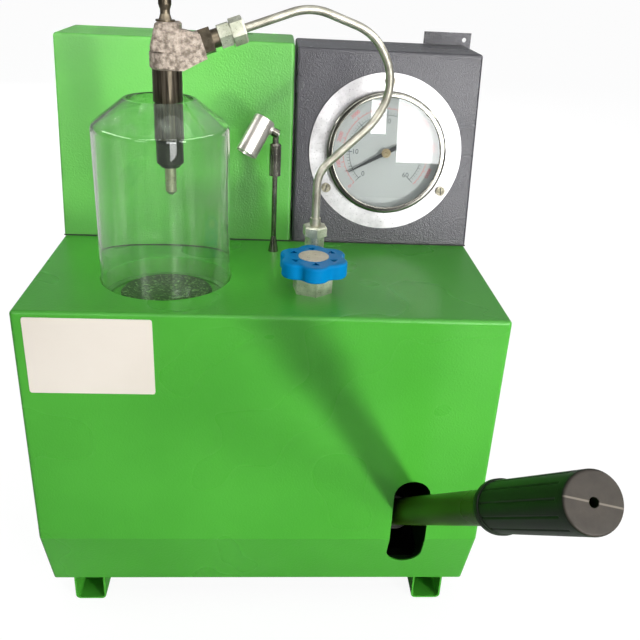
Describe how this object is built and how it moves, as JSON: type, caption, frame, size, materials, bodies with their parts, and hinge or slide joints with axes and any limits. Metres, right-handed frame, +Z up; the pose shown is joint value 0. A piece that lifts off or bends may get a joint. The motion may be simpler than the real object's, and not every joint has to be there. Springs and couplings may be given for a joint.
{
  "type": "diesel injector tester",
  "caption": "Bench diesel injector tester with a hand lever pump, clear spray jar, pressure gauge, shut-off wheel and lamp on a folded sheet cabinet.",
  "frame": {"origin": "centre of the cabinet's footprint, on the surface that the foot rails stand on", "axes": "+X to the user's right, +Y away from the user to the rear covers, +Z up"},
  "size_m": [0.355, 0.4773, 0.4915],
  "materials": {
    "green_enamel": "gloss enamel on folded sheet",
    "grey_hammertone": "dark grey hammer finish",
    "light_grey_enamel": "light grey enamel",
    "zinc_plate": "zinc plated steel",
    "bare_steel": "bright steel",
    "cast_block": "blasted steel casting",
    "black_oxide": "blackened steel",
    "ground_steel": "ground steel",
    "pump_casting": "cast iron",
    "galvanised": "galvanised sheet",
    "black_rubber": "moulded rubber",
    "black_foam": "dark green open mesh",
    "black_plastic": "black moulded plastic",
    "clear_jar": "clear",
    "clear_glass": "clear",
    "gauge_chrome": "polished",
    "gauge_aluminium": "satin",
    "dial_white": "matt white",
    "pointer_black": "matt black",
    "brass": "satin",
    "wheel_blue": "moulded"
  },
  "bodies": {
    "cabinet": {"cabinet_shell": "green_enamel", "base_plate": "green_enamel", "foot_rails": "green_enamel", "rear_panel": "green_enamel", "power_inlet": "black_plastic", "green_hood": "green_enamel", "green_hood_cover": "green_enamel", "grey_hood": "grey_hammertone", "grey_hood_cover": "light_grey_enamel", "pan_screws": "zinc_plate", "spray_cup": "galvanised", "cup_gasket": "black_rubber", "mesh_disc": "black_foam", "mist_duct": "galvanised", "fan_frame": "black_plastic", "oil_tank": "galvanised", "suction_strainer": "zinc_plate", "suction_pipe": "bare_steel", "pump_bracket": "pump_casting", "pump_barrel": "bare_steel", "plunger_spring": "bare_steel", "lever_shaft": "bare_steel", "delivery_valve_holder": "zinc_plate", "pressure_pipe": "bare_steel", "union_nuts": "zinc_plate", "valve_block": "bare_steel", "bonnet_nut": "zinc_plate", "outlet_adapter": "zinc_plate", "gauge_pipe": "bare_steel", "gauge_case": "gauge_aluminium", "gauge_bezel": "gauge_chrome", "gauge_glass": "clear_glass", "gauge_dial": "dial_white", "bourdon_tube": "brass", "gauge_socket": "brass", "delivery_pipe": "bare_steel", "upper_union_nut": "zinc_plate", "inlet_connector": "zinc_plate", "injector_body": "cast_block", "leak_off_stem": "bare_steel", "nozzle_holder": "black_oxide", "nozzle_cap_nut": "black_oxide", "nozzle": "ground_steel", "lamp_stand": "gauge_chrome"},
    "jar": {"spray_jar": "clear_jar"},
    "rotor": {"fan_rotor": "black_plastic"},
    "lever": {"lever_arm": "pump_casting", "lever_tube": "green_enamel", "lever_grip": "black_rubber"},
    "roller": {"tappet_roller": "bare_steel"},
    "plunger_set": {"tappet": "bare_steel", "plunger": "bare_steel"},
    "needle": {"valve_needle": "bare_steel"},
    "wheel": {"valve_spindle": "bare_steel", "handwheel": "wheel_blue", "wheel_badge": "wheel_blue"},
    "pointer": {"gauge_pointer": "pointer_black"},
    "lamp_swivel": {"lamp_sleeve": "gauge_chrome"},
    "lamp": {"lamp_head": "gauge_aluminium", "lamp_lens": "clear_glass"}
  },
  "joints": [
    {"name": "lever_pivot", "type": "hinge", "parent": "cabinet", "child": "lever", "pos_m": [0.1082, -0.05, 0.0505], "axis": [1, 0, 0], "range_deg": [0, 26.5], "stiffness_Nm_per_rad": 2.5, "springref_deg": -45.84},
    {"name": "roller_spin", "type": "hinge", "parent": "lever", "child": "roller", "pos_m": [0.1082, -0.02865, 0.04518], "axis": [1, 0, 0], "continuous": true},
    {"name": "plunger_slide", "type": "slide", "parent": "cabinet", "child": "plunger_set", "axis": [0, 0, 1], "range_m": [0, 0.0102], "deforming": ["plunger_spring"]},
    {"name": "needle_slide", "type": "slide", "parent": "cabinet", "child": "needle", "axis": [0, 0, 1], "range_m": [0, 0.00225]},
    {"name": "wheel_turn", "type": "hinge", "parent": "needle", "child": "wheel", "pos_m": [0.0342, -0.075, 0.3], "axis": [0, 0, 1], "range_deg": [0, 540]},
    {"name": "pointer_turn", "type": "hinge", "parent": "cabinet", "child": "pointer", "pos_m": [0.0982, 0.04235, 0.36012], "axis": [0, 0.9914, -0.1305], "range_deg": [-16.4, 253.6]},
    {"name": "jar_lift", "type": "slide", "parent": "cabinet", "child": "jar", "axis": [0, 0, 1], "range_m": [0, 0.018]},
    {"name": "rotor_spin", "type": "hinge", "parent": "cabinet", "child": "rotor", "pos_m": [-0.0775, 0.11, 0.2307], "axis": [0, 1, 0], "continuous": true},
    {"name": "lamp_pan", "type": "hinge", "parent": "cabinet", "child": "lamp_swivel", "pos_m": [0.0045, 0.0073, 0.3555], "axis": [0, 0, 1], "range_deg": [-120, 120]},
    {"name": "lamp_tilt", "type": "hinge", "parent": "lamp_swivel", "child": "lamp", "pos_m": [0.0045, 0.0073, 0.3805], "axis": [-0.8887, 0.1815, 0.421], "range_deg": [-60, 60]}
  ],
  "couplings": [
    {"joint": "plunger_slide", "follows": "lever_pivot", "m_per_rad": 0.021803},
    {"joint": "wheel_turn", "follows": "needle_slide", "rad_per_m": 4188.7}
  ]
}
